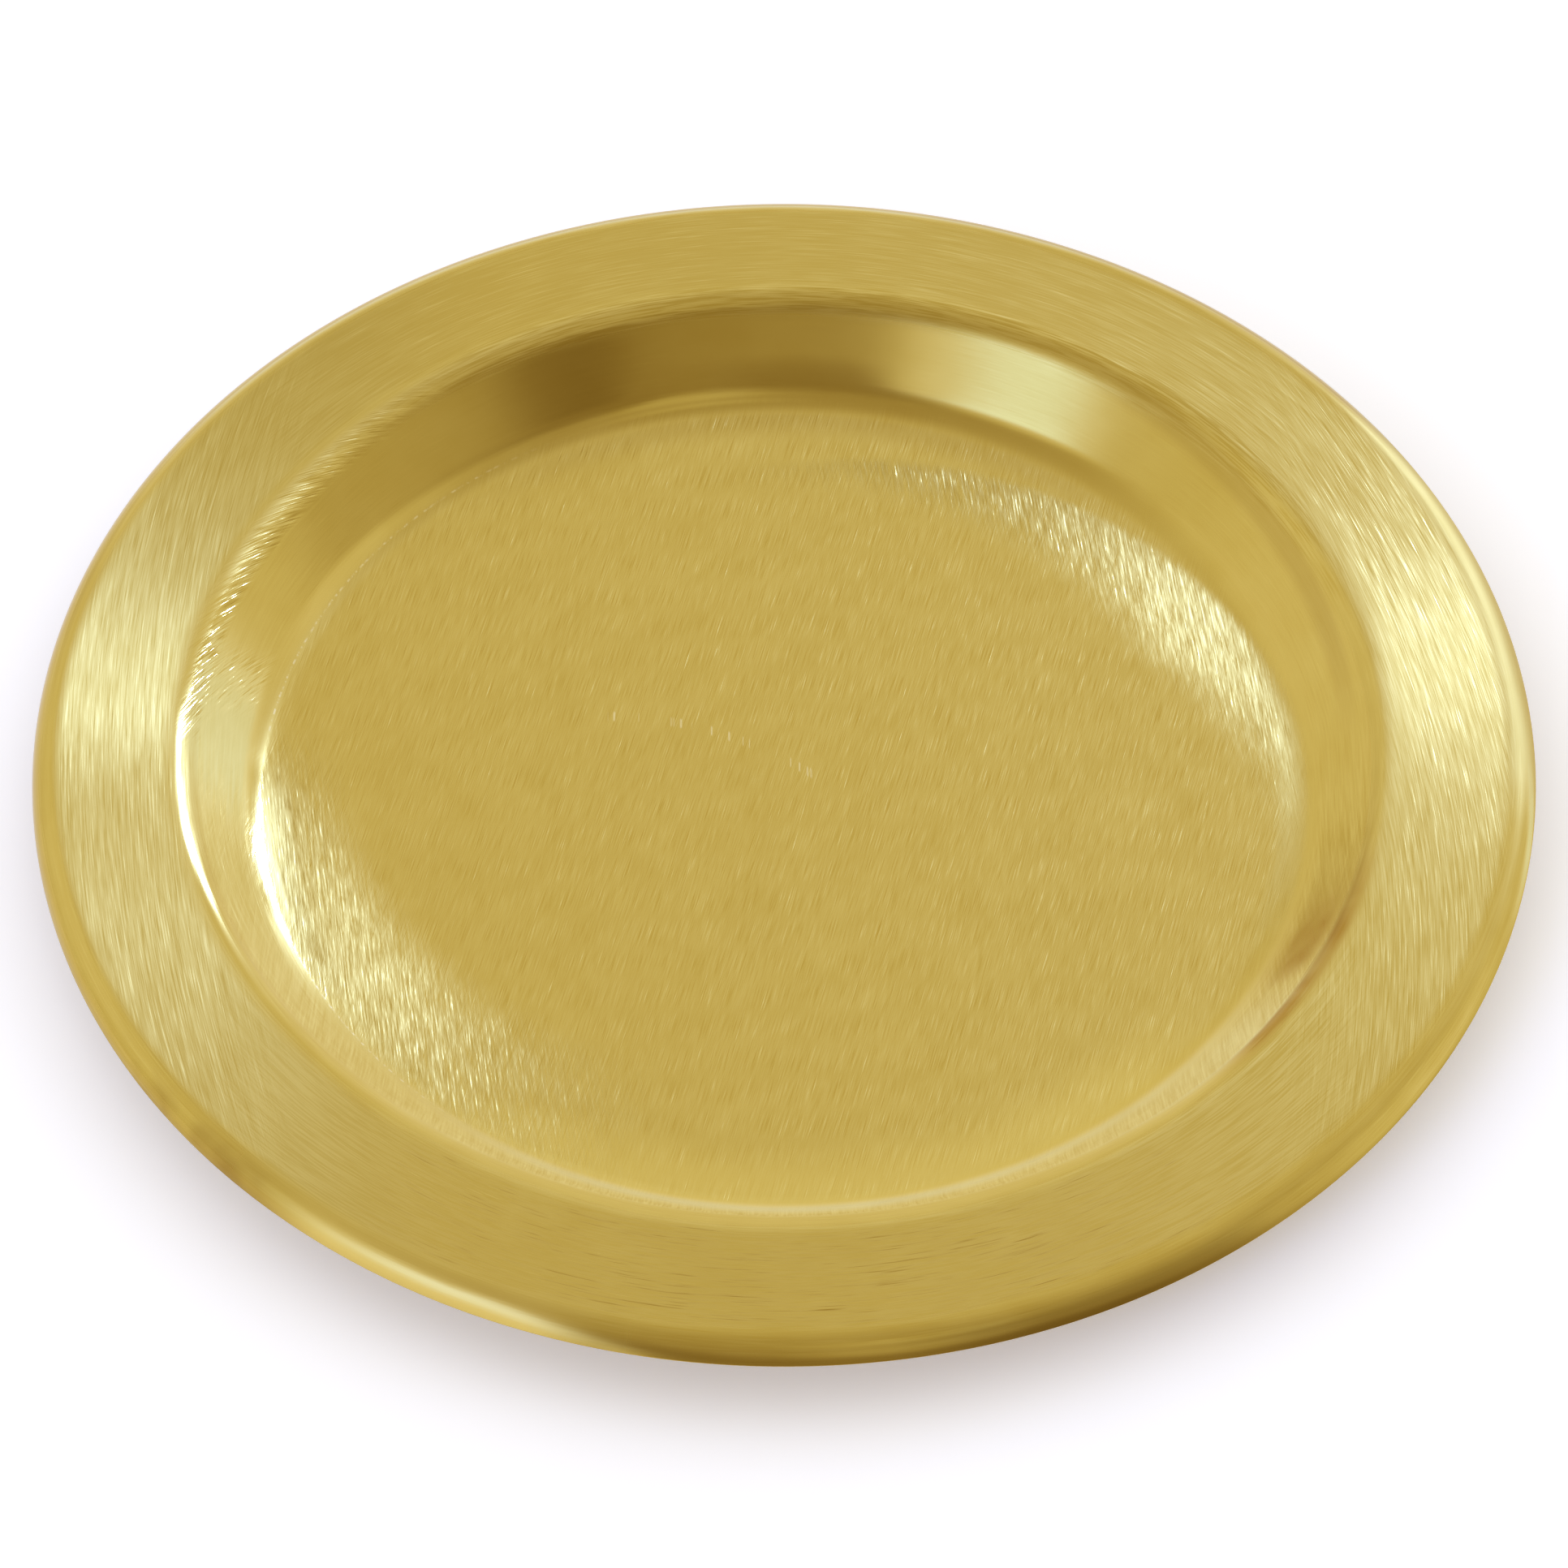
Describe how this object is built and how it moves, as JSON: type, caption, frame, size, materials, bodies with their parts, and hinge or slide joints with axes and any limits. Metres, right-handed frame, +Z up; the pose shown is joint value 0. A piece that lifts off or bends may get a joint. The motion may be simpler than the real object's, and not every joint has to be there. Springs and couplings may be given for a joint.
{
  "type": "candle plate",
  "caption": "Round satin-brushed brass candle plate, pressed from sheet, with a flat floor in a shallow well, a broad rim and a turned-down lip, for standing a pillar candle on.",
  "frame": {"origin": "centre of the underside of the floor, the face that the plate stands on", "axes": "+Z up along the plate's axis; X and Y lie in the plane that it stands on, and the plate is the same all round"},
  "size_m": [0.12, 0.12, 0.0076],
  "materials": {
    "brass": "satin"
  },
  "bodies": {
    "root": {"plate": "brass"}
  },
  "joints": []
}
